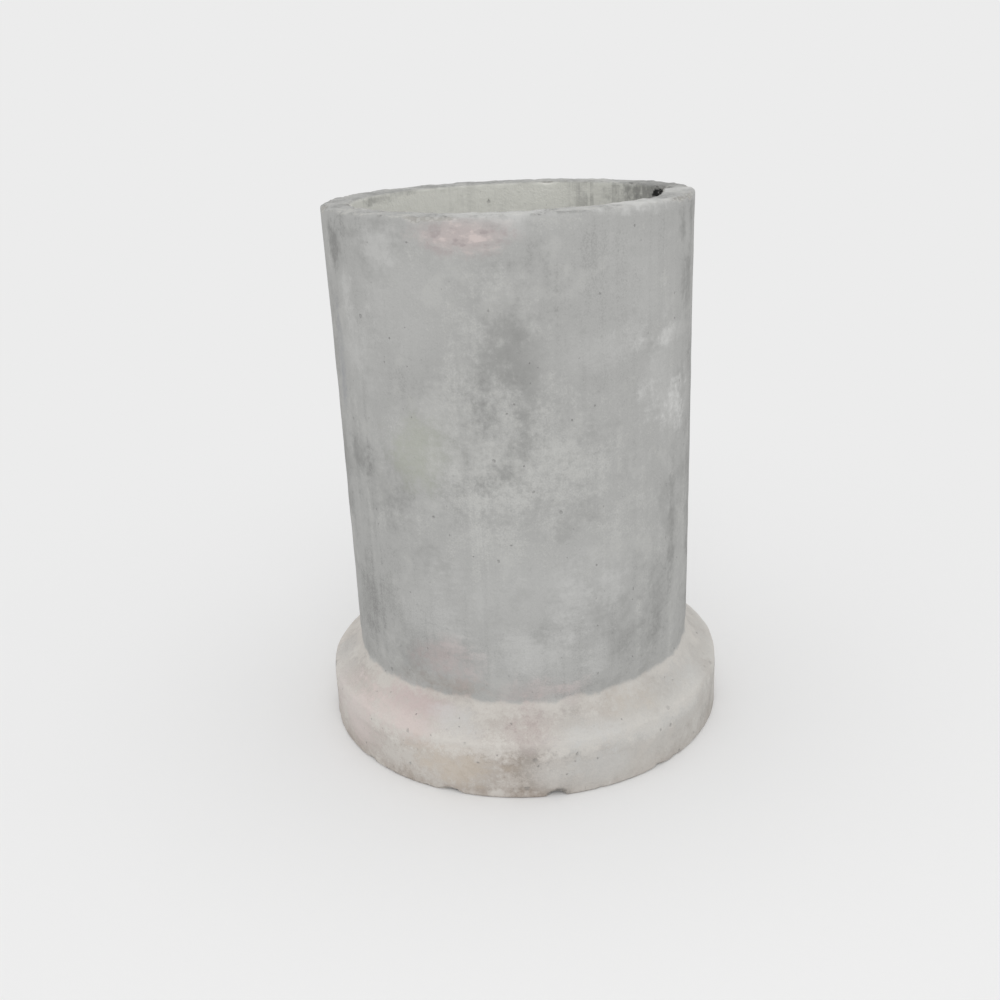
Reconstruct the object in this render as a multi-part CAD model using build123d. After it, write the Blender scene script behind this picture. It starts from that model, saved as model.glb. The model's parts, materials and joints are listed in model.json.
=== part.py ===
"""Concrete sewer pipe with a plain spigot at one end and a bell at the other, stood on its bell.

Plain concrete, cast upright in a steel mould as one piece. The whole pipe is one section
turned about its own axis: a straight barrel and bore, a bell that widens from the barrel by
a sloping shoulder, and inside the bell the socket that takes the spigot of the next pipe.

Frame: +Z up along the pipe's axis, origin at the centre of the bell's end face, which the
pipe stands on. All sizes are in millimetres.
"""

import os

from build123d import *

# Barrel
BORE_DIAMETER = 600.0  # the size that the pipe is sold by
BARREL_WALL = 60.0
LAYING_LENGTH = 1000.0  # what one pipe adds to the line, from the socket's seat to the spigot's end

# Socket, inside the bell
SOCKET_DEPTH = 90.0  # how far the next pipe's spigot goes in
JOINT_GAP = 15.0  # room for mortar all round the spigot
MOUTH_FLARE = 6.0  # how much wider the mouth is than the socket, on the radius
MOUTH_FLARE_DEPTH = 20.0

# Bell, outside the socket
BELL_WALL = 50.0
SEAT_COVER = 28.0  # how far the bell's straight side runs on past the socket's seat
SHOULDER_RISE = 52.0  # height of the slope from the bell's side in to the barrel

# Edges, as the mould and the striking-off leave them
SPIGOT_ROUND = 8.0
BORE_CHAMFER = 5.0
SHOULDER_TOP_FILLET = 22.0
SHOULDER_FOOT_ROUND = 14.0
BELL_ROUND = 6.0
SEAT_FILLET = 8.0
MOUTH_FLARE_BLEND = 10.0
SHARP = 0.0  # a corner where two parts of the mould meet

# Radii and heights that follow from the sizes above
bore_radius = BORE_DIAMETER / 2
barrel_radius = bore_radius + BARREL_WALL
socket_radius = barrel_radius + JOINT_GAP
mouth_radius = socket_radius + MOUTH_FLARE
bell_radius = socket_radius + BELL_WALL
shoulder_foot = SOCKET_DEPTH + SEAT_COVER
shoulder_top = shoulder_foot + SHOULDER_RISE
spigot_end = SOCKET_DEPTH + LAYING_LENGTH


def pipe_section():
    """Half of the pipe's lengthwise section, as a face in the XZ plane beside the axis."""
    # Each corner as (radius, height) and the rounding that it gets, up the outside and down the inside.
    corners = [
        ((bell_radius, 0), BELL_ROUND),
        ((bell_radius, shoulder_foot), SHOULDER_FOOT_ROUND),
        ((barrel_radius, shoulder_top), SHOULDER_TOP_FILLET),
        ((barrel_radius, spigot_end), SPIGOT_ROUND),
        ((bore_radius + BORE_CHAMFER, spigot_end), SHARP),
        ((bore_radius, spigot_end - BORE_CHAMFER), SHARP),
        ((bore_radius, SOCKET_DEPTH), SHARP),
        ((socket_radius, SOCKET_DEPTH), SEAT_FILLET),
        ((socket_radius, MOUTH_FLARE_DEPTH), MOUTH_FLARE_BLEND),
        ((mouth_radius, 0), SHARP),
    ]
    points = [point for point, _ in corners]
    roundings = [rounding for _, rounding in corners]
    with BuildSketch(Plane.XZ) as section:
        with BuildLine():
            FilletPolyline(*points, radius=roundings, close=True)
        make_face()
    return section.sketch


def concrete_pipe():
    """The cast pipe, one solid."""
    with BuildPart() as pipe:
        add(pipe_section())
        revolve(axis=Axis.Z)
    return pipe.part


os.makedirs("parts", exist_ok=True)
export_step(concrete_pipe(), "parts/concrete_pipe.step")
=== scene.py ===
"""Looks of a concrete sewer pipe that stands on its bell.

One piece stands for the cast solid: the same section, turned about the axis, with the uneven
walls, worn edges and chips of a pipe that has lain about on a building site. Its finish is
one procedural concrete: a grey cement skin on the barrel, a paler coat on the bell, stains,
smears, air holes and broken edges, and some painted shade and light in its colour.
"""
import json
import math
from typing import NamedTuple

import bpy
from mathutils import Matrix, Vector


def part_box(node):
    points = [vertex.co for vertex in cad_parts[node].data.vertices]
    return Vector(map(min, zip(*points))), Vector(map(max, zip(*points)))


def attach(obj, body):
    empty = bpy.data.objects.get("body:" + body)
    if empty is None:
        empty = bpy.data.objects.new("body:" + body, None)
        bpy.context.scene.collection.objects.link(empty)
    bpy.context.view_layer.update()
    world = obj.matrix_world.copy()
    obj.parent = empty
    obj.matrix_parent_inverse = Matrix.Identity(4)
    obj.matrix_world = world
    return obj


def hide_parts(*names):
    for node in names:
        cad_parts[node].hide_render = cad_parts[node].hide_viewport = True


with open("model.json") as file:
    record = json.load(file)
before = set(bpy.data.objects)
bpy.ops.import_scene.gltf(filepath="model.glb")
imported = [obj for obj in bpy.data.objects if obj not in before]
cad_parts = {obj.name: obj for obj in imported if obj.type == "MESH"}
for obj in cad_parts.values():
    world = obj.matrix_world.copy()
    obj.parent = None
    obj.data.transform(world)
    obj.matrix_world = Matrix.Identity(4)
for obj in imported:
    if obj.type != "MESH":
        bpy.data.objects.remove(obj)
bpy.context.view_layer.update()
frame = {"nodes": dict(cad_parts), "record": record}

NODE = "concrete_pipe"
MILLIMETRE = 0.001

# The view: where the camera stands, from a fit to the outline of the pipe in the photograph
CAMERA_BACK = 2.165  # metres from the pipe's axis
CAMERA_HEIGHT = 1.280
CAMERA_TILT = 20.83  # degrees below level
CAMERA_YAW = -1.05
CAMERA_ROLL = -2.52
FOCAL_SHARE = 1.079  # focal length as a share of the picture's width
SENSOR_WIDTH = 36.0  # millimetres

# The floor and the light round the pipe
FLOOR_SIZE = 60.0  # metres across
FLOOR_GREY = (0.86, 0.86, 0.86, 1.0)
SHADOW_REACH = (0.7, 2.2)  # metres from the axis between which the floor fades to the plain background
WORLD_STRENGTH = 0.90
WHITE = (1.0, 1.0, 1.0, 1.0)

# The cast mesh: facets round the pipe, and the length of an edge along each stretch of the section
FACETS_AROUND = 530
FINE_STEP = 4.5 * MILLIMETRE
SHOULDER_STEP = 5.5 * MILLIMETRE
BELL_STEP = 8.0 * MILLIMETRE
BARREL_STEP = 13.0 * MILLIMETRE
HIDDEN_STEP = 22.0 * MILLIMETRE
BORE_STEP = 62.0 * MILLIMETRE
ARC_STEP = math.radians(24)
RIM_BAND = 60.0 * MILLIMETRE  # how far below the rim the finer edges go on
FOOT_BAND = 26.0 * MILLIMETRE  # how far up the bell from the floor

# Edges of the section where a real one is a little round
SHOULDER_TOP_FILLET = 16.0 * MILLIMETRE
SHOULDER_FOOT_ROUND = 12.0 * MILLIMETRE
SMALL_ROUND = 4.0 * MILLIMETRE

# Where the unevenness of the walls begins and ends
TRUE_FOOT = 12.0 * MILLIMETRE  # height in which it fades out towards the floor, so that the pipe stands level
LUMPS_BELOW_CREASE = 35.0 * MILLIMETRE  # where the shoulder's lumps begin
LUMPS_ABOVE_SHOULDER = 20.0 * MILLIMETRE  # and where they end on the barrel
RIM_SHELL = (5.0 * MILLIMETRE, 1.0 * MILLIMETRE)  # depths between which the rim's lumps replace the waves

# What of a noise counts: where a lump or a stray chip begins and where it is full
WALL_SPAN = (0.25, 0.75)
RIM_SPAN = (0.30, 0.70)
STRAY_CHIPS = (0.54, 0.70)
CHIP_CORE = 0.35  # share of a known chip's half width that is full deep

BROKEN = "broken"  # the mesh attribute that says how much is worn off, in metres


def srgb(red, green, blue):
    """A colour as a screen shows it, from 0 to 255, as the light values that shaders take."""

    def light(level):
        share = level / 255
        return share / 12.92 if share <= 0.04045 else ((share + 0.055) / 1.055) ** 2.4

    return (light(red), light(green), light(blue), 1.0)


# Colours of the concrete
SKIN_DARK = srgb(143, 143, 141)
SKIN_GREY = srgb(172, 172, 170)
SKIN_PALE = srgb(190, 190, 187)
COAT_DARK = srgb(170, 164, 158)
COAT_WARM = srgb(197, 191, 185)
COAT_PALE = srgb(210, 206, 200)
COAT_COOL = srgb(197, 196, 192)
# Painted light: the bore is coloured pale to stand for the light on its upper wall
BORE_PAINTED_LIGHT = srgb(230, 230, 223)
RIM_GREY = srgb(170, 170, 168)
CHIP_PALE = srgb(193, 192, 187)
CHIP_STONE = srgb(154, 151, 146)

# Colours of what lies on it, and of painted shade and light
# Dark grey of damp stains, also used as painted shade at the barrel's sides and in the air holes
DAMP_AND_SHADE = srgb(128, 128, 126)
# Near black: painted shadow in chips
CHIP_SHADOW = srgb(26, 26, 25)
# Pale lime, also used as a painted highlight on the rim's lip
LIME_AND_HIGHLIGHT = srgb(206, 206, 204)
ROSE = srgb(194, 179, 177)
MAUVE = srgb(160, 151, 151)
BLUSH = srgb(216, 203, 199)
MOSS = srgb(176, 179, 166)
SLATE = srgb(142, 144, 151)
EARTH = srgb(148, 133, 119)
SANDY = srgb(205, 194, 180)

BACKGROUND = srgb(236, 236, 236)


class Value:
    """What a node gives. Arithmetic on it adds Math nodes to its tree."""

    def __init__(self, graph, socket):
        self.graph = graph
        self.socket = socket

    def __add__(self, other):
        return self.graph.math("ADD", self, other)

    __radd__ = __add__

    def __sub__(self, other):
        return self.graph.math("SUBTRACT", self, other)

    def __rsub__(self, other):
        return self.graph.math("SUBTRACT", other, self)

    def __mul__(self, other):
        return self.graph.math("MULTIPLY", self, other)

    __rmul__ = __mul__

    def __pow__(self, other):
        return self.graph.math("POWER", self, other)


def pick(sockets, key):
    """A socket by its number, or the first one in use with that name or identifier."""
    if isinstance(key, int):
        return sockets[key]
    return next(s for s in sockets if s.enabled and key in (s.name, s.identifier))


class Graph:
    """A node tree that is put together by calls and expressions."""

    SEED_STEPS = (1.7, 2.9, 4.3)  # how far one step of the seed moves a noise along x, y and z

    def __init__(self, tree):
        self.tree = tree

    def node(self, kind, settings=None, sockets=None, output=0):
        """Adds a node, sets it up, then feeds its sockets. Gives one of its outputs."""
        node = self.tree.nodes.new(kind)
        for name, value in (settings or {}).items():
            setattr(node, name, value)
        for key, value in (sockets or {}).items():
            self.feed(pick(node.inputs, key), value)
        return Value(self, pick(node.outputs, output)) if len(node.outputs) else None

    def beside(self, value, output):
        """Another output of the node that a value comes from."""
        return Value(self, pick(value.socket.node.outputs, output))

    def feed(self, socket, value):
        """Links a socket to a value, or sets it to a constant."""
        if isinstance(value, Value):
            self.tree.links.new(value.socket, socket)
        else:
            socket.default_value = value

    def math(self, operation, *values):
        """A Math node on one, two or three values."""
        return self.node("ShaderNodeMath", {"operation": operation}, dict(enumerate(values)))

    def vector(self, operation, *values, output=0):
        """A Vector Math node."""
        sockets = dict(enumerate(values))
        return self.node("ShaderNodeVectorMath", {"operation": operation}, sockets, output)

    def scaled(self, vector, factor):
        """A vector times a number."""
        sockets = {0: vector, "Scale": factor}
        return self.node("ShaderNodeVectorMath", {"operation": "SCALE"}, sockets)

    def joined(self, **parts):
        """A vector of the parts X, Y and Z that are named, with 0 for the others."""
        return self.node("ShaderNodeCombineXYZ", sockets=parts)

    def split(self, vector):
        """The x, y and z of a vector."""
        x = self.node("ShaderNodeSeparateXYZ", sockets={0: vector}, output="X")
        return x, self.beside(x, "Y"), self.beside(x, "Z")

    def rise(self, value, low, high):
        """0 at low and 1 at high, with a smooth rise between them."""
        settings = {"interpolation_type": "SMOOTHSTEP"}
        sockets = {"Value": value, "From Min": low, "From Max": high}
        return self.node("ShaderNodeMapRange", settings, sockets)

    def noise(self, place, scale, seed, detail=2.0, roughness=0.5):
        """Cloudy noise from 0 to 1. Scale is lumps to the metre, all ways alike or for x, y and z."""
        scales = scale if isinstance(scale, tuple) else (scale, scale, scale)
        shift = tuple(seed * step for step in self.SEED_STEPS)
        moved = self.vector("MULTIPLY_ADD", place, scales, shift)
        sockets = {"Vector": moved, "Scale": 1.0, "Detail": detail, "Roughness": roughness}
        return self.node("ShaderNodeTexNoise", {"noise_dimensions": "3D"}, sockets)

    def blend(self, share, under, over):
        """One colour laid over another."""
        sockets = {"Factor_Float": share, "A_Color": under, "B_Color": over}
        return self.node("ShaderNodeMix", {"data_type": "RGBA"}, sockets, "Result_Color")


class Place:
    """Where on the pipe a point lies: its position, the parts of that, and its distance from the axis."""

    def __init__(self, g, position):
        self.position = position
        self.x, self.y, self.z = g.split(position)
        self.radius = (self.x * self.x + self.y * self.y) ** 0.5


# Sizes of the cast solid

solid_points = [vertex.co.copy() for vertex in frame["nodes"][NODE].data.vertices]


def heights_at(radius):
    """Lowest and highest point of the cast solid at a radius, which are the ends of a straight wall."""
    near = 0.1 * MILLIMETRE
    heights = [p.z for p in solid_points if abs(p.xy.length - radius) < near]
    return min(heights), max(heights)


def mount_radius(name):
    """Radius of one of the record's round mounts, in metres."""
    mount = next(m for m in frame["record"]["mounts"] if m["name"] == name)
    return mount["dims"]["r_mm"] * MILLIMETRE


def shoulder_corners():
    """Heights at which the shoulder's slope would meet the bell's side and the barrel with no rounding."""
    between = [p for p in solid_points if bell_top < p.z < barrel_foot and p.xy.length > barrel_radius]
    rising = sorted((p.z, p.xy.length) for p in between)
    # The slope's own ends are the neighbours that lie furthest apart in height.
    ends = max(zip(rising, rising[1:]), key=lambda pair: pair[1][0] - pair[0][0])
    (low, low_radius), (high, high_radius) = ends
    steepness = (high - low) / (high_radius - low_radius)
    at_bell = low + (bell_radius - low_radius) * steepness
    at_barrel = high + (barrel_radius - high_radius) * steepness
    return at_bell, at_barrel


pipe_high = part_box(NODE)[1]
pipe_height = pipe_high.z
bell_radius = pipe_high.x
barrel_radius = mount_radius("spigot")
bore_radius = mount_radius("bore")
socket_radius = mount_radius("socket")
mouth_radius = min(p.xy.length for p in solid_points if p.z < MILLIMETRE)
wall_middle = (bore_radius + barrel_radius) / 2
bell_foot, bell_top = heights_at(bell_radius)
barrel_foot, barrel_top = heights_at(barrel_radius)
seat_height, bore_top = heights_at(bore_radius)
flare_top, socket_top = heights_at(socket_radius)
crease, shoulder_top = shoulder_corners()


# The section

def arc_points(corner, before, after, radius):
    """Points of the arc that rounds a corner, between the runs to the corners before and after it."""
    back = (before - corner).normalized()
    ahead = (after - corner).normalized()
    half = back.angle(ahead) / 2
    centre = corner + (back + ahead).normalized() * radius / math.sin(half)
    reach = radius / math.tan(half)
    start = corner + back * reach - centre
    turn = start.angle_signed(corner + ahead * reach - centre)
    steps = max(1, round(abs(turn) / ARC_STEP))
    return [centre + Matrix.Rotation(-turn * i / steps, 2) @ start for i in range(steps + 1)]


def section_outline():
    """The section as points of radius and height: up the inside, over the rim and down the outside."""
    fine_from = pipe_height - RIM_BAND
    # Each corner with its rounding, and the length of the edges on the way to the next corner.
    corners = [
        ((mouth_radius, 0), SMALL_ROUND, HIDDEN_STEP),
        ((socket_radius, flare_top), SMALL_ROUND, HIDDEN_STEP),
        ((socket_radius, seat_height), seat_height - socket_top, HIDDEN_STEP),
        ((bore_radius, seat_height), SMALL_ROUND, BORE_STEP),
        ((bore_radius, fine_from), 0, FINE_STEP),
        ((bore_radius, pipe_height), pipe_height - bore_top, FINE_STEP),
        ((barrel_radius, pipe_height), pipe_height - barrel_top, FINE_STEP),
        ((barrel_radius, fine_from), 0, BARREL_STEP),
        ((barrel_radius, shoulder_top), SHOULDER_TOP_FILLET, SHOULDER_STEP),
        ((bell_radius, crease), SHOULDER_FOOT_ROUND, BELL_STEP),
        ((bell_radius, FOOT_BAND), 0, FINE_STEP),
        ((bell_radius, 0), bell_foot, HIDDEN_STEP),
    ]
    places = [Vector(place) for place, _, _ in corners]
    rounded = []
    for i, (_, rounding, _) in enumerate(corners):
        after = places[(i + 1) % len(places)]
        rounded.append(arc_points(places[i], places[i - 1], after, rounding) if rounding else [places[i]])
    outline = []
    for i, (_, _, step) in enumerate(corners):
        outline += rounded[i]
        start = rounded[i][-1]
        end = rounded[(i + 1) % len(rounded)][0]
        steps = max(1, round((end - start).length / step))
        outline += [start.lerp(end, k / steps) for k in range(1, steps)]
    return outline


def section_object():
    """The section as a closed line of edges, in the form that the sweep takes: radius across, height down."""
    outline = section_outline()
    mesh = bpy.data.meshes.new("cast_pipe")
    points = [(p.x - wall_middle, -p.y, 0) for p in outline]
    edges = [(i, (i + 1) % len(points)) for i in range(len(points))]
    mesh.from_pydata(points, edges, [])
    section = bpy.data.objects.new("cast_pipe", mesh)
    bpy.context.scene.collection.objects.link(section)
    return section


# The cast pipe: the section swept round the axis, then worn

class Edge(NamedTuple):
    """An edge that runs round the pipe, in metres."""

    radius: float
    height: float


class Chip(NamedTuple):
    """A piece broken off an edge, in metres. Its azimuth is in degrees from the front, right positive."""

    azimuth: float
    edge: Edge
    half_width: float
    depth: float


SPIGOT_EDGE = Edge(barrel_radius, pipe_height)
BORE_EDGE = Edge(bore_radius, pipe_height)
FOOT_EDGE = Edge(bell_radius, 0)

# Chips that the photograph shows
CHIPS = [
    Chip(96, BORE_EDGE, 0.040, 0.018),
    Chip(70, SPIGOT_EDGE, 0.030, 0.009),
    Chip(-77, SPIGOT_EDGE, 0.040, 0.012),
    Chip(-64, BORE_EDGE, 0.030, 0.010),
    Chip(-20, SPIGOT_EDGE, 0.060, 0.007),
    Chip(7, FOOT_EDGE, 0.022, 0.013),
    Chip(-21, FOOT_EDGE, 0.030, 0.008),
]

CAST_INPUTS = {
    "Section": "NodeSocketGeometry",
    "Facets": "NodeSocketInt",
    "Wave Depth": "NodeSocketFloat",
    "Lump Depth": "NodeSocketFloat",
    "Shoulder Lumps": "NodeSocketFloat",
    "Rim Lumps": "NodeSocketFloat",
    "Edge Wear": "NodeSocketFloat",
    "Chip Depth": "NodeSocketFloat",
    "Finish": "NodeSocketMaterial",
}


def point_at(azimuth, radius, height):
    """A point of the pipe. Its azimuth is in degrees from the front, right positive."""
    turn = math.radians(azimuth)
    return Vector((radius * math.sin(turn), -radius * math.cos(turn), height))


def swept_section(g, given):
    """The section swept once round the axis."""
    line = g.node("GeometryNodeMeshToCurve", sockets={"Mesh": given["Section"]})
    ring_sizes = {"Resolution": given["Facets"], "Radius": wall_middle}
    ring = g.node("GeometryNodeCurvePrimitiveCircle", {"mode": "RADIUS"}, ring_sizes)
    ring = g.node("GeometryNodeSetCurveNormal", {"mode": "Z_UP"}, {"Curve": ring})
    return g.node("GeometryNodeCurveToMesh", sockets={"Curve": ring, "Profile Curve": line})


def edge_depth(g, place, given, edge, seed):
    """How far wear goes back from an edge: a little everywhere, more in scattered and in known chips."""
    ragged = g.noise(place.position, 42, seed, detail=2)
    chance = g.noise(place.position, 13, seed + 1, detail=3)
    scattered = g.rise(chance, *STRAY_CHIPS) * given["Chip Depth"] * ragged
    depth = given["Edge Wear"] * (0.4 + ragged) + scattered
    for chip in CHIPS:
        if chip.edge == edge:
            reach = g.vector("DISTANCE", place.position, point_at(chip.azimuth, *edge), output="Value")
            uneven = reach + (ragged - 0.5) * chip.half_width
            depth = depth + chip.depth * g.rise(uneven, chip.half_width, CHIP_CORE * chip.half_width)
    return depth


def edge_cut(g, place, given, edge, seed):
    """What wear takes off near an edge: a flat cut across it, as wide on both faces as the wear is deep."""
    across = place.radius - edge.radius
    along = place.z - edge.height
    reach = (across * across + along * along) ** 0.5
    return g.math("MAXIMUM", edge_depth(g, place, given, edge, seed) - reach, 0.0)


def hollow_depth(g, place, given):
    """How far the walls lie inside true ones: waves and lumps, rougher on the shoulder and the rim."""
    waves = given["Wave Depth"] * g.rise(g.noise(place.position, 3.1, seed=17, detail=1), *WALL_SPAN)
    lumps = given["Lump Depth"] * g.rise(g.noise(place.position, 15, seed=19, detail=2), *WALL_SPAN)
    above_bell = g.rise(place.z, crease - LUMPS_BELOW_CREASE, crease)
    below_barrel = g.rise(place.z, barrel_foot + LUMPS_ABOVE_SHOULDER, barrel_foot)
    on_shoulder = above_bell * below_barrel * g.rise(place.radius, wall_middle, barrel_radius)
    rough = on_shoulder * given["Shoulder Lumps"] * g.noise(place.position, (14, 14, 30), seed=23, detail=3)
    on_rim = g.rise(place.z, *(pipe_height - depth for depth in RIM_SHELL))
    struck = on_rim * given["Rim Lumps"] * g.rise(g.noise(place.position, 30, seed=29, detail=3), *RIM_SPAN)
    off_floor = g.rise(place.z, 0.0, TRUE_FOOT)
    return off_floor * (waves * (1 - on_rim) + lumps + rough + struck)


def worn_way(g, place, given, spigot_cut, bore_cut, foot_cut):
    """The way that wear moves a point: inwards from the walls, and back from the edges."""
    inward = g.scaled(g.node("GeometryNodeInputNormal"), -1 * hollow_depth(g, place, given))
    outward = g.vector("NORMALIZE", g.joined(X=place.x, Y=place.y))
    sideways = g.scaled(outward, 0.5 * (bore_cut - spigot_cut - foot_cut))
    upright = g.joined(Z=0.5 * (foot_cut - spigot_cut - bore_cut))
    return g.vector("ADD", g.vector("ADD", inward, sideways), upright)


def cast_pipe_tree():
    """Geometry nodes that sweep the section round the axis and wear the result."""
    tree = bpy.data.node_groups.new("cast pipe", "GeometryNodeTree")
    for name, kind in CAST_INPUTS.items():
        tree.interface.new_socket(name, in_out="INPUT", socket_type=kind)
    tree.interface.new_socket("Pipe", in_out="OUTPUT", socket_type="NodeSocketGeometry")
    g = Graph(tree)
    entry = tree.nodes.new("NodeGroupInput")
    given = {name: Value(g, entry.outputs[name]) for name in CAST_INPUTS}

    place = Place(g, g.node("GeometryNodeInputPosition"))
    spigot_cut = edge_cut(g, place, given, SPIGOT_EDGE, seed=3)
    bore_cut = edge_cut(g, place, given, BORE_EDGE, seed=7)
    foot_cut = edge_cut(g, place, given, FOOT_EDGE, seed=11)
    moved = worn_way(g, place, given, spigot_cut, bore_cut, foot_cut)

    pipe = swept_section(g, given)
    named = {"Geometry": pipe, "Name": BROKEN, "Value": spigot_cut + bore_cut + foot_cut}
    pipe = g.node("GeometryNodeStoreNamedAttribute", {"data_type": "FLOAT", "domain": "POINT"}, named)
    pipe = g.node("GeometryNodeSetPosition", sockets={"Geometry": pipe, "Offset": moved})
    pipe = g.node("GeometryNodeSetShadeSmooth", sockets={"Geometry": pipe, "Shade Smooth": True})
    pipe = g.node("GeometryNodeRealizeInstances", sockets={"Geometry": pipe})
    pipe = g.node("GeometryNodeSetMaterial", sockets={"Geometry": pipe, "Material": given["Finish"]})
    g.node("NodeGroupOutput", sockets={"Pipe": pipe})
    return tree


def cast_pipe(finish):
    """The pipe as one plain mesh."""
    piece = section_object()
    modifier = piece.modifiers.new("cast", "NODES")
    modifier.node_group = cast_pipe_tree()
    settings = {
        "Facets": FACETS_AROUND,
        "Wave Depth": 1.8 * MILLIMETRE,
        "Lump Depth": 0.9 * MILLIMETRE,
        "Shoulder Lumps": 4.0 * MILLIMETRE,
        "Rim Lumps": 2.4 * MILLIMETRE,
        "Edge Wear": 3.5 * MILLIMETRE,
        "Chip Depth": 16.0 * MILLIMETRE,
        "Finish": finish,
    }
    for socket in modifier.node_group.interface.items_tree:
        if socket.name in settings:
            modifier[socket.identifier] = settings[socket.name]
    evaluated = piece.evaluated_get(bpy.context.evaluated_depsgraph_get())
    mesh = bpy.data.meshes.new_from_object(evaluated)
    piece.modifiers.remove(modifier)
    piece.data = mesh
    return piece


# Stains, some of which are painted shade and light

class Stain(NamedTuple):
    """A patch of colour on the pipe, in metres. Its azimuth is in degrees from the front, right positive."""

    colour: tuple
    azimuth: float
    radius: float
    height: float
    half_width: float
    half_height: float
    strength: float


# What the photograph shows on the barrel. A later stain lies on an earlier one.
BARREL_STAINS = [
    Stain(DAMP_AND_SHADE, -63, barrel_radius, 1.020, 0.042, 0.045, 0.70),
    Stain(DAMP_AND_SHADE, 61, barrel_radius, 1.025, 0.028, 0.030, 0.55),
    Stain(DAMP_AND_SHADE, -51, barrel_radius, 1.056, 0.040, 0.010, 0.45),
    Stain(LIME_AND_HIGHLIGHT, -57, barrel_radius, 0.955, 0.030, 0.045, 0.40),
    Stain(LIME_AND_HIGHLIGHT, -52, barrel_radius, 0.850, 0.070, 0.080, 0.40),
    Stain(LIME_AND_HIGHLIGHT, -41, barrel_radius, 1.035, 0.060, 0.040, 0.40),
    Stain(SLATE, -66, barrel_radius, 0.790, 0.022, 0.120, 0.52),
    # A tall dark streak: painted shade along the barrel's left side
    Stain(DAMP_AND_SHADE, -76, barrel_radius, 0.560, 0.055, 0.260, 0.38),
    Stain(DAMP_AND_SHADE, -57, barrel_radius, 0.640, 0.045, 0.070, 0.44),
    Stain(DAMP_AND_SHADE, -45, barrel_radius, 0.575, 0.065, 0.090, 0.46),
    Stain(DAMP_AND_SHADE, -15, barrel_radius, 0.675, 0.060, 0.100, 0.30),
    Stain(DAMP_AND_SHADE, 15, barrel_radius, 0.640, 0.055, 0.040, 0.24),
    Stain(LIME_AND_HIGHLIGHT, -30, barrel_radius, 0.370, 0.090, 0.100, 0.38),
    Stain(LIME_AND_HIGHLIGHT, 2, barrel_radius, 0.380, 0.170, 0.130, 0.20),
    Stain(LIME_AND_HIGHLIGHT, 22, barrel_radius, 0.395, 0.080, 0.075, 0.40),
    Stain(LIME_AND_HIGHLIGHT, 5, barrel_radius, 0.250, 0.130, 0.080, 0.46),
    Stain(LIME_AND_HIGHLIGHT, 1, barrel_radius, 1.066, 0.035, 0.020, 0.45),
    Stain(DAMP_AND_SHADE, 0, barrel_radius, 0.800, 0.160, 0.280, 0.22),
    Stain(DAMP_AND_SHADE, -1, barrel_radius, 0.870, 0.050, 0.130, 0.26),
    Stain(DAMP_AND_SHADE, -4, barrel_radius, 0.715, 0.070, 0.110, 0.24),
    Stain(LIME_AND_HIGHLIGHT, 25, barrel_radius, 0.850, 0.110, 0.060, 0.32),
    Stain(LIME_AND_HIGHLIGHT, 52, barrel_radius, 0.850, 0.100, 0.016, 0.60),
    Stain(LIME_AND_HIGHLIGHT, 56, barrel_radius, 0.715, 0.095, 0.060, 0.95),
    Stain(DAMP_AND_SHADE, 69, barrel_radius, 0.925, 0.050, 0.090, 0.54),
    # A tall dark streak: painted shade along the barrel's right side
    Stain(DAMP_AND_SHADE, 76, barrel_radius, 0.560, 0.055, 0.300, 0.46),
    Stain(DAMP_AND_SHADE, 56, barrel_radius, 0.450, 0.016, 0.150, 0.45),
    Stain(MOSS, -30, barrel_radius, 0.680, 0.075, 0.070, 0.50),
    Stain(DAMP_AND_SHADE, -42, barrel_radius, 0.235, 0.090, 0.060, 0.46),
    Stain(LIME_AND_HIGHLIGHT, -36, barrel_radius, 0.950, 0.130, 0.110, 0.26),
    Stain(LIME_AND_HIGHLIGHT, 36, barrel_radius, 0.960, 0.120, 0.100, 0.24),
    Stain(LIME_AND_HIGHLIGHT, 50, barrel_radius, 0.780, 0.080, 0.090, 0.38),
    Stain(DAMP_AND_SHADE, 47, barrel_radius, 0.330, 0.060, 0.120, 0.30),
    Stain(DAMP_AND_SHADE, 42, barrel_radius, 0.250, 0.080, 0.040, 0.26),
    Stain(EARTH, -27, barrel_radius, 0.200, 0.110, 0.022, 0.35),
    Stain(ROSE, -25, barrel_radius, 0.245, 0.075, 0.050, 0.45),
    Stain(ROSE, 2, barrel_radius, 0.195, 0.090, 0.030, 0.55),
]

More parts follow.
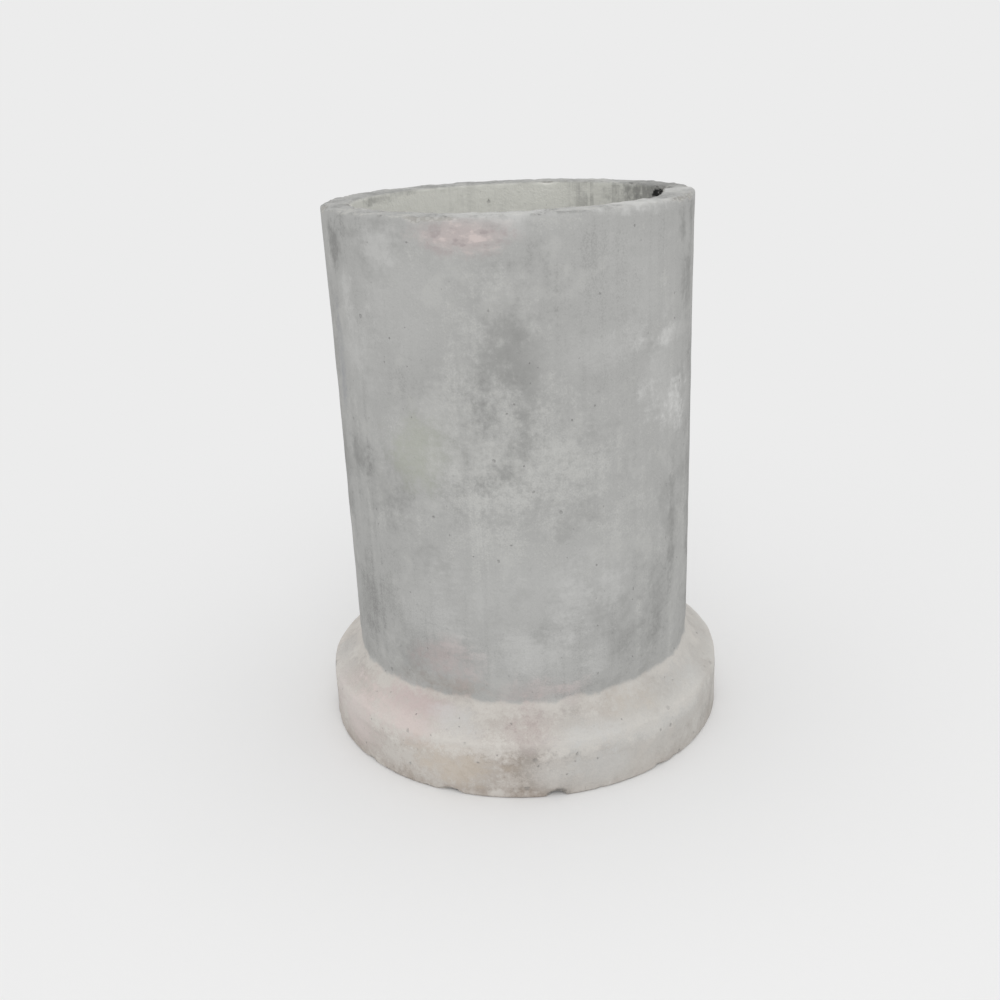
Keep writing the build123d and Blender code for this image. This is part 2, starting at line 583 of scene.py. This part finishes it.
# What it shows on the bell and its shoulder
BELL_STAINS = [
    Stain(EARTH, -4, bell_radius, 0.042, 0.090, 0.050, 0.28),
    Stain(EARTH, -5, bell_radius, 0.080, 0.025, 0.030, 0.30),
    Stain(EARTH, -8, bell_radius, 0.003, 0.160, 0.020, 0.30),
    Stain(BLUSH, -42, bell_radius, 0.135, 0.150, 0.045, 0.80),
    Stain(ROSE, -36, bell_radius - 0.040, 0.152, 0.090, 0.016, 0.60),
    Stain(ROSE, 1, bell_radius, 0.150, 0.080, 0.045, 0.45),
    Stain(SANDY, -22, bell_radius, 0.060, 0.110, 0.045, 0.60),
    Stain(SANDY, 30, bell_radius, 0.150, 0.090, 0.025, 0.40),
    Stain(LIME_AND_HIGHLIGHT, -62, bell_radius, 0.085, 0.100, 0.050, 0.45),
    Stain(LIME_AND_HIGHLIGHT, -20, bell_radius - 0.025, 0.142, 0.055, 0.030, 0.65),
    Stain(LIME_AND_HIGHLIGHT, -78, bell_radius - 0.030, 0.142, 0.100, 0.040, 0.42),
    Stain(LIME_AND_HIGHLIGHT, 58, bell_radius - 0.030, 0.142, 0.080, 0.035, 0.40),
    Stain(LIME_AND_HIGHLIGHT, 6, bell_radius, 0.050, 0.050, 0.032, 0.45),
    Stain(LIME_AND_HIGHLIGHT, 17, bell_radius, 0.120, 0.090, 0.030, 0.62),
    Stain(BLUSH, -60, bell_radius, 0.085, 0.120, 0.070, 0.60),
    Stain(LIME_AND_HIGHLIGHT, 19, bell_radius, 0.045, 0.080, 0.050, 0.42),
    Stain(LIME_AND_HIGHLIGHT, 43, bell_radius, 0.092, 0.130, 0.026, 0.35),
    Stain(DAMP_AND_SHADE, 66, bell_radius, 0.030, 0.080, 0.040, 0.20),
    Stain(DAMP_AND_SHADE, -80, bell_radius, 0.112, 0.020, 0.014, 0.70),
    Stain(DAMP_AND_SHADE, 78, bell_radius, 0.090, 0.020, 0.022, 0.60),
    # Painted shadow in the chip at the foot
    Stain(CHIP_SHADOW, 8, bell_radius, 0.006, 0.020, 0.010, 0.70),
]

# Light weathering of the back, which the photograph doesn't show
BACK_STAINS = [
    Stain(DAMP_AND_SHADE, 118, barrel_radius, 0.330, 0.120, 0.130, 0.26),
    Stain(DAMP_AND_SHADE, 141, barrel_radius, 0.880, 0.045, 0.170, 0.30),
    Stain(LIME_AND_HIGHLIGHT, 158, barrel_radius, 0.620, 0.110, 0.120, 0.30),
    Stain(DAMP_AND_SHADE, 176, barrel_radius, 0.310, 0.090, 0.120, 0.24),
    Stain(LIME_AND_HIGHLIGHT, -166, barrel_radius, 0.930, 0.130, 0.060, 0.28),
    Stain(DAMP_AND_SHADE, -146, barrel_radius, 0.560, 0.060, 0.200, 0.28),
    Stain(DAMP_AND_SHADE, -118, barrel_radius, 0.860, 0.050, 0.120, 0.28),
    Stain(EARTH, 168, bell_radius, 0.030, 0.140, 0.045, 0.34),
    Stain(EARTH, -128, bell_radius, 0.010, 0.170, 0.026, 0.30),
    Stain(SANDY, 128, bell_radius, 0.080, 0.120, 0.050, 0.45),
]

# What the photograph shows about the rim and the top of the bore. The last two are painted shadow in a chip.
RIM_STAINS = [
    Stain(DAMP_AND_SHADE, 110, bore_radius, 1.070, 0.110, 0.060, 0.78),
    Stain(DAMP_AND_SHADE, -116, bore_radius, 1.080, 0.060, 0.012, 0.60),
    Stain(DAMP_AND_SHADE, -130, bore_radius, 1.088, 0.040, 0.010, 0.55),
    Stain(DAMP_AND_SHADE, -78, bore_radius, 1.088, 0.025, 0.010, 0.70),
    Stain(LIME_AND_HIGHLIGHT, 0, wall_middle, 1.088, 0.120, 0.018, 0.55),
    # Painted highlight along the top of the near lip
    Stain(LIME_AND_HIGHLIGHT, 40, bore_radius, 1.090, 0.110, 0.020, 0.70),
    Stain(LIME_AND_HIGHLIGHT, 82, wall_middle, 1.090, 0.055, 0.020, 0.85),
    Stain(CHIP_SHADOW, 101, bore_radius, 1.073, 0.024, 0.009, 2.50),
    Stain(CHIP_SHADOW, 93, bore_radius + 0.004, 1.081, 0.024, 0.009, 2.50),
]

# The smear under the rim
SMEAR = Stain(ROSE, -12.5, barrel_radius, 1.058, 0.0909, 0.0357, 0.54)


# Concrete: in these functions g is the material's graph and s its surface

# Where one finish gives way to another, in metres, from where it begins to where it is full
COAT_TOP = (0.179, 0.169)  # heights at which the bell's coat takes over from the barrel's skin
COOL_SIDE = (-0.05, 0.22)  # x at which the coat turns from warm to cool
CREST_DROP = 0.009  # how far the coat's pale crest lies below the crease
CREST_PALE = (0.022, 0.006)  # distances from that crest at which the coat is pale: rubbed wear and a painted highlight
CREST_DARK = (0.016, 0.036)  # and at which it is dark
JOINT_PALE = (0.148, 0.164)  # heights at which the coat turns pale towards the barrel
FLOOR_DIRT = (0.045, -0.010)  # heights at which it picks up earth towards the floor
DAMP_SIDE = (0.09, 0.22)  # x at which the bore turns damp
DARKER_DEPTH = (1.02, 0.60)  # heights at which it turns darker further down
BORE_SKIN = (0.012, 0.004)  # distances outside the bore's radius at which the bore's finish begins
RIM_SKIN = (0.007, 0.002)  # depths below the rim at which the rim's finish begins
BELL_SPAN = (0.030, -0.020)  # heights from the crease at which the bell's larger pits begin
CHIPPED = (0.001, 0.006)  # depths of wear at which the inner concrete shows
STAIN_FADE = (1.30, 0.10)  # how far out a stain begins and is full, as shares of its half sizes


class Surface(Place):
    """What the layers of the concrete share: places on the pipe, noises of several sizes and zones."""

    def __init__(self, g):
        super().__init__(g, g.node("ShaderNodeTexCoord", output="Object"))
        place = self.position
        # Noises about zero: even ones from coarse to fine, then drawn out ones, upright and level
        self.cloud = g.noise(place, 3.4, seed=1, detail=2) - 0.5
        self.bloom = g.noise(place, 7, seed=3, detail=4, roughness=0.65) - 0.5
        self.mottle = g.noise(place, 14, seed=2, detail=4, roughness=0.6) - 0.5
        self.grain = g.noise(place, 95, seed=4, detail=3, roughness=0.65) - 0.5
        self.sand = g.noise(place, 340, seed=5, detail=1) - 0.5
        self.runs = g.noise(place, (17, 17, 1.1), seed=8, detail=2) - 0.5
        self.streaks = g.noise(place, (58, 58, 2.3), seed=6, detail=3, roughness=0.6) - 0.5
        self.wipes = g.noise(place, (11, 11, 75), seed=9, detail=2, roughness=0.6) - 0.5
        # Zones: 1 in each, 0 outside it
        self.in_bore = g.rise(self.radius, *(bore_radius + off for off in BORE_SKIN))
        self.on_rim = g.rise(self.z, *(pipe_height - depth for depth in RIM_SKIN))
        self.on_bell = g.rise(self.z, *(crease + off for off in BELL_SPAN))
        broken = g.node("ShaderNodeAttribute", {"attribute_name": BROKEN}, output="Fac")
        self.chipped = g.rise(broken + 0.006 * self.grain, *CHIPPED)
        # The stones that a broken face shows, as distances from their middles
        cells = {"Vector": place, "Scale": 105}
        self.stones = g.node("ShaderNodeTexVoronoi", {"feature": "F1"}, cells, "Distance")


def three_tones(g, tone, dark, middle, pale):
    """A colour by its tone: dark at 0, middle at a half and pale at 1."""
    lower = g.blend(g.rise(tone, 0.0, 0.5), dark, middle)
    return g.blend(g.rise(tone, 0.5, 1.0), lower, pale)


def cement_skin(g, s):
    """The barrel's grey skin: cloudy, finely speckled, with upright streaks that come in groups."""
    groups = 0.25 + 3.0 * g.math("ABSOLUTE", s.runs)
    tone = 0.5 + 1.0 * s.cloud + 0.7 * s.mottle + 0.45 * s.grain + 0.55 * s.sand + groups * s.streaks
    colour = three_tones(g, tone, SKIN_DARK, SKIN_GREY, SKIN_PALE)
    colour = g.blend(0.40 * g.rise(s.bloom, 0.05, 0.16), colour, SKIN_PALE)
    return g.blend(0.34 * g.rise(s.bloom, -0.05, -0.16), colour, SKIN_DARK)


def bell_coat(g, s):
    """The bell's paler coat: warm on one side, cooler on the other, blotchy, with dirt near the floor."""
    tone = 0.55 + 1.1 * s.cloud + 2.6 * s.mottle + 1.6 * s.grain + 0.9 * s.sand
    colour = three_tones(g, tone, COAT_DARK, COAT_WARM, COAT_PALE)
    colour = g.blend(0.7 * g.rise(s.x + 0.6 * s.bloom, *COOL_SIDE), colour, COAT_COOL)
    blotches = s.bloom + 0.4 * s.mottle
    colour = g.blend(0.52 * g.rise(blotches, 0.03, 0.15), colour, COAT_PALE)
    colour = g.blend(0.36 * g.rise(blotches, -0.03, -0.15), colour, COAT_DARK)
    level = s.z + 0.06 * s.mottle + 0.03 * s.grain
    off_crest = g.math("ABSOLUTE", level - (crease - CREST_DROP))
    broken_up = 0.6 + 2.2 * s.bloom
    # The pale crest is partly rubbed wear and partly a painted highlight along the crease
    colour = g.blend(0.70 * broken_up * g.rise(off_crest, *CREST_PALE), colour, COAT_PALE)
    colour = g.blend(0.42 * broken_up * g.rise(off_crest, *CREST_DARK), colour, COAT_DARK)
    colour = g.blend(0.62 * broken_up * g.rise(level, *JOINT_PALE), colour, COAT_PALE)
    low = g.rise(s.z + 0.12 * s.mottle + 0.05 * s.grain, *FLOOR_DIRT)
    return g.blend(0.22 * low, colour, EARTH)


def bore_wall(g, s, skin):
    """The bore: pale near the rim, a painted light, with dark streaks, damper to one side and darker further
    down.
    """
    # Painted light: the whole bore is made pale
    colour = g.blend(0.85, skin, BORE_PAINTED_LIGHT)
    streaked = g.rise(s.streaks + 0.6 * s.runs + 0.9 * s.mottle, 0.0, 0.20)
    to_side = g.rise(s.x + 0.25 * s.cloud, *DAMP_SIDE)
    colour = g.blend(0.36 * streaked * (0.35 + 0.65 * to_side) + 0.10 * to_side, colour, DAMP_AND_SHADE)
    # Darker further down the bore
    deep = g.rise(s.z + 0.25 * s.runs, *DARKER_DEPTH)
    return g.blend(0.55 * deep, colour, DAMP_AND_SHADE)


def rim_face(g, s, skin):
    """The struck-off end: grey, with dark and pale wipes."""
    colour = g.blend(0.5, skin, RIM_GREY)
    colour = g.blend(0.55 * g.rise(s.mottle + s.grain, 0.02, 0.16), colour, DAMP_AND_SHADE)
    return g.blend(0.55 * g.rise(s.mottle - s.grain, -0.02, -0.14), colour, CHIP_PALE)


def reach_of(g, s, stain):
    """How far a point lies from a stain's middle, as a share of the stain's half sizes."""
    offset = g.vector("SUBTRACT", s.position, point_at(stain.azimuth, stain.radius, stain.height))
    wide = 1 / stain.half_width
    tall = 1 / stain.half_height
    return g.vector("LENGTH", g.vector("MULTIPLY", offset, (wide, wide, tall)), output="Value")


def stained(g, s, colour, stains):
    """Lays stains over a colour, patchy and with ragged outlines."""
    ragged = 2.2 * s.mottle + 1.1 * s.grain + 0.8 * s.wipes
    patchy = 0.55 + 0.45 * g.rise(s.bloom + s.mottle + 0.6 * s.grain, 0.12, -0.16)
    for stain in stains:
        share = stain.strength * patchy * g.rise(reach_of(g, s, stain) + ragged, *STAIN_FADE)
        colour = g.blend(share, colour, stain.colour)
    return colour


def rose_smear(g, s, colour):
    """A rose smear under the rim, rubbed to a haze, with pale and dark flecks left in it."""
    haze = g.rise(reach_of(g, s, SMEAR) + 1.6 * s.mottle + 0.8 * s.grain, 1.25, 0.25)
    flecks = g.noise(s.position, (34, 34, 70), seed=12, detail=3) - 0.5 + 0.25 * s.grain
    colour = g.blend(SMEAR.strength * haze, colour, SMEAR.colour)
    colour = g.blend(0.60 * haze * g.rise(flecks, 0.02, 0.18), colour, BLUSH)
    return g.blend(0.68 * haze * g.rise(flecks, -0.02, -0.16), colour, MAUVE)


def outer_faces(g, s, skin):
    """The barrel and the bell, which meet at an uneven line, with all that lies on them."""
    joint_line = s.z + 0.035 * s.mottle + 0.020 * s.bloom + 0.010 * s.grain
    colour = g.blend(g.rise(joint_line, *COAT_TOP), skin, bell_coat(g, s))
    colour = stained(g, s, colour, BARREL_STAINS + BELL_STAINS + BACK_STAINS)
    return rose_smear(g, s, colour)


def broken_faces(g, s, colour):
    """Shows pale inner concrete and its stones where an edge is worn or chipped."""
    colour = g.blend(0.5 * s.chipped, colour, CHIP_PALE)
    return g.blend(0.5 * s.chipped * g.rise(s.stones, 0.30, 0.55), colour, CHIP_STONE)


def air_holes(g, s, scale, largest, share):
    """Holes that air leaves against the mould, in a share of all cells: 1 in a hole, 0 around it."""
    uneven = g.vector("ADD", s.position, g.joined(Z=0.012 * s.grain))
    cells = {"Vector": uneven, "Scale": scale, "Randomness": 1.0}
    reach = g.node("ShaderNodeTexVoronoi", {"feature": "F1"}, cells, "Distance")
    chance, size, _ = g.split(g.beside(reach, "Color"))
    hole = largest * scale * (0.3 + 0.7 * size * size)
    return g.rise(reach, hole, 0.5 * hole) * g.rise(chance, 1 - share, 1.02 - share)


def all_holes(g, s):
    """Fine and coarse air holes all over, and larger pits on the bell and the rim."""
    small = air_holes(g, s, scale=70, largest=2.4 * MILLIMETRE, share=0.22)
    large = air_holes(g, s, scale=26, largest=5.5 * MILLIMETRE, share=0.16)
    pits = air_holes(g, s, scale=52, largest=6.0 * MILLIMETRE, share=0.40)
    pitted = g.math("MAXIMUM", s.on_bell, s.on_rim) * pits
    return g.math("MAXIMUM", g.math("MAXIMUM", small, large), pitted)


def relief(g, s, holes):
    """The normal of a surface with grain, sand, air holes and broken stones."""
    bumps = (
        (1.7 + 1.5 * s.on_rim + 0.8 * s.on_bell) * MILLIMETRE * s.grain
        + 0.30 * MILLIMETRE * s.sand
        - 1.5 * MILLIMETRE * holes
        + 2.0 * MILLIMETRE * s.chipped * (s.grain - s.stones)
    )
    return g.node("ShaderNodeBump", sockets={"Strength": 1.0, "Distance": 1.0, "Height": bumps})


def empty_tree(owner):
    """The node tree of a new material or world, with nothing in it."""
    owner.use_nodes = True
    owner.node_tree.nodes.clear()
    return Graph(owner.node_tree)


def concrete():
    """The finish of the whole pipe."""
    material = bpy.data.materials.new("cast_concrete")
    g = empty_tree(material)
    s = Surface(g)
    skin = cement_skin(g, s)
    colour = g.blend(s.in_bore, outer_faces(g, s, skin), bore_wall(g, s, skin))
    colour = g.blend(s.on_rim, colour, rim_face(g, s, skin))
    colour = stained(g, s, broken_faces(g, s, colour), RIM_STAINS)
    holes = all_holes(g, s)
    sockets = {
        # Air holes darkened: painted shade in the pits
        "Base Color": g.blend(0.40 * holes, colour, DAMP_AND_SHADE),
        "Roughness": 0.92 + 0.25 * s.grain,
        "Specular IOR Level": 0.25,
        "Normal": relief(g, s, holes),
    }
    shader = g.node("ShaderNodeBsdfPrincipled", sockets=sockets)
    g.node("ShaderNodeOutputMaterial", sockets={"Surface": shader})
    return material


# Floor, light and camera

def seen_rays(g):
    """1 for rays that show the background, also off gloss and through glass, and 0 for light on the pipe."""
    seen = g.node("ShaderNodeLightPath", output="Is Camera Ray")
    mirrored = g.beside(seen, "Is Glossy Ray")
    through = g.beside(seen, "Is Transmission Ray")
    return g.math("MINIMUM", seen + mirrored + through, 1.0)


def floor_finish():
    """A pale floor that keeps the pipe's shadow near it and fades to the plain background further off."""
    material = bpy.data.materials.new("pale_floor")
    g = empty_tree(material)
    place = g.node("ShaderNodeTexCoord", output="Object")
    reach = g.vector("LENGTH", place, output="Value")
    share = seen_rays(g) * g.rise(reach, *SHADOW_REACH)
    lit = g.node("ShaderNodeBsdfDiffuse", sockets={"Color": FLOOR_GREY})
    plain = g.node("ShaderNodeEmission", sockets={"Color": BACKGROUND, "Strength": 1.0})
    shader = g.node("ShaderNodeMixShader", sockets={0: share, 1: lit, 2: plain})
    g.node("ShaderNodeOutputMaterial", sockets={"Surface": shader})
    return material


def floor():
    """A wide level floor under the pipe."""
    half = FLOOR_SIZE / 2
    mesh = bpy.data.meshes.new("floor")
    corners = [(-half, -half, 0), (half, -half, 0), (half, half, 0), (-half, half, 0)]
    mesh.from_pydata(corners, [], [(0, 1, 2, 3)])
    mesh.materials.append(floor_finish())
    plane = bpy.data.objects.new("floor", mesh)
    bpy.context.scene.collection.objects.link(plane)


def sky():
    """Even light from all round, seen by the camera as the plain background."""
    world = bpy.data.worlds.new("studio")
    bpy.context.scene.world = world
    g = empty_tree(world)
    even = g.node("ShaderNodeBackground", sockets={"Color": WHITE, "Strength": WORLD_STRENGTH})
    plain = g.node("ShaderNodeBackground", sockets={"Color": BACKGROUND, "Strength": 1.0})
    shader = g.node("ShaderNodeMixShader", sockets={0: seen_rays(g), 1: even, 2: plain})
    g.node("ShaderNodeOutputWorld", sockets={"Surface": shader})


def lamp(name, place, aim, size, power):
    """A large soft lamp. Its power is in watts."""
    light = bpy.data.lights.new(name, "AREA")
    light.shape = "DISK"
    light.size = size
    light.energy = power
    holder = bpy.data.objects.new(name, light)
    holder.location = place
    holder.rotation_euler = (Vector(aim) - Vector(place)).to_track_quat("-Z", "Y").to_euler()
    bpy.context.scene.collection.objects.link(holder)


def camera():
    """The camera at the photograph's place."""
    tilt, yaw, roll = (math.radians(a) for a in (CAMERA_TILT, CAMERA_YAW, CAMERA_ROLL))
    ahead = Vector((math.sin(yaw) * math.cos(tilt), math.cos(yaw) * math.cos(tilt), -math.sin(tilt)))
    level = Vector((math.cos(yaw), -math.sin(yaw), 0))
    above = level.cross(ahead)
    right = math.cos(roll) * level + math.sin(roll) * above
    up = math.cos(roll) * above - math.sin(roll) * level
    lens = bpy.data.cameras.new("camera")
    lens.sensor_width = SENSOR_WIDTH
    lens.lens = FOCAL_SHARE * SENSOR_WIDTH
    holder = bpy.data.objects.new("camera", lens)
    turn = Matrix((right, up, -ahead)).transposed().to_4x4()
    holder.matrix_world = Matrix.Translation((0, -CAMERA_BACK, CAMERA_HEIGHT)) @ turn
    bpy.context.scene.collection.objects.link(holder)
    bpy.context.scene.camera = holder


# The scene

pipe = cast_pipe(concrete())
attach(pipe, "root")
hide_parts(NODE)

floor()
sky()
lamp("key", place=(0.2, -3.4, 3.4), aim=(0, 0, 0.6), size=2.4, power=25)
lamp("top", place=(0.3, 0.2, 4.2), aim=(0, 0, 0.5), size=3.0, power=8)
camera()
bpy.context.scene.view_settings.view_transform = "Standard"
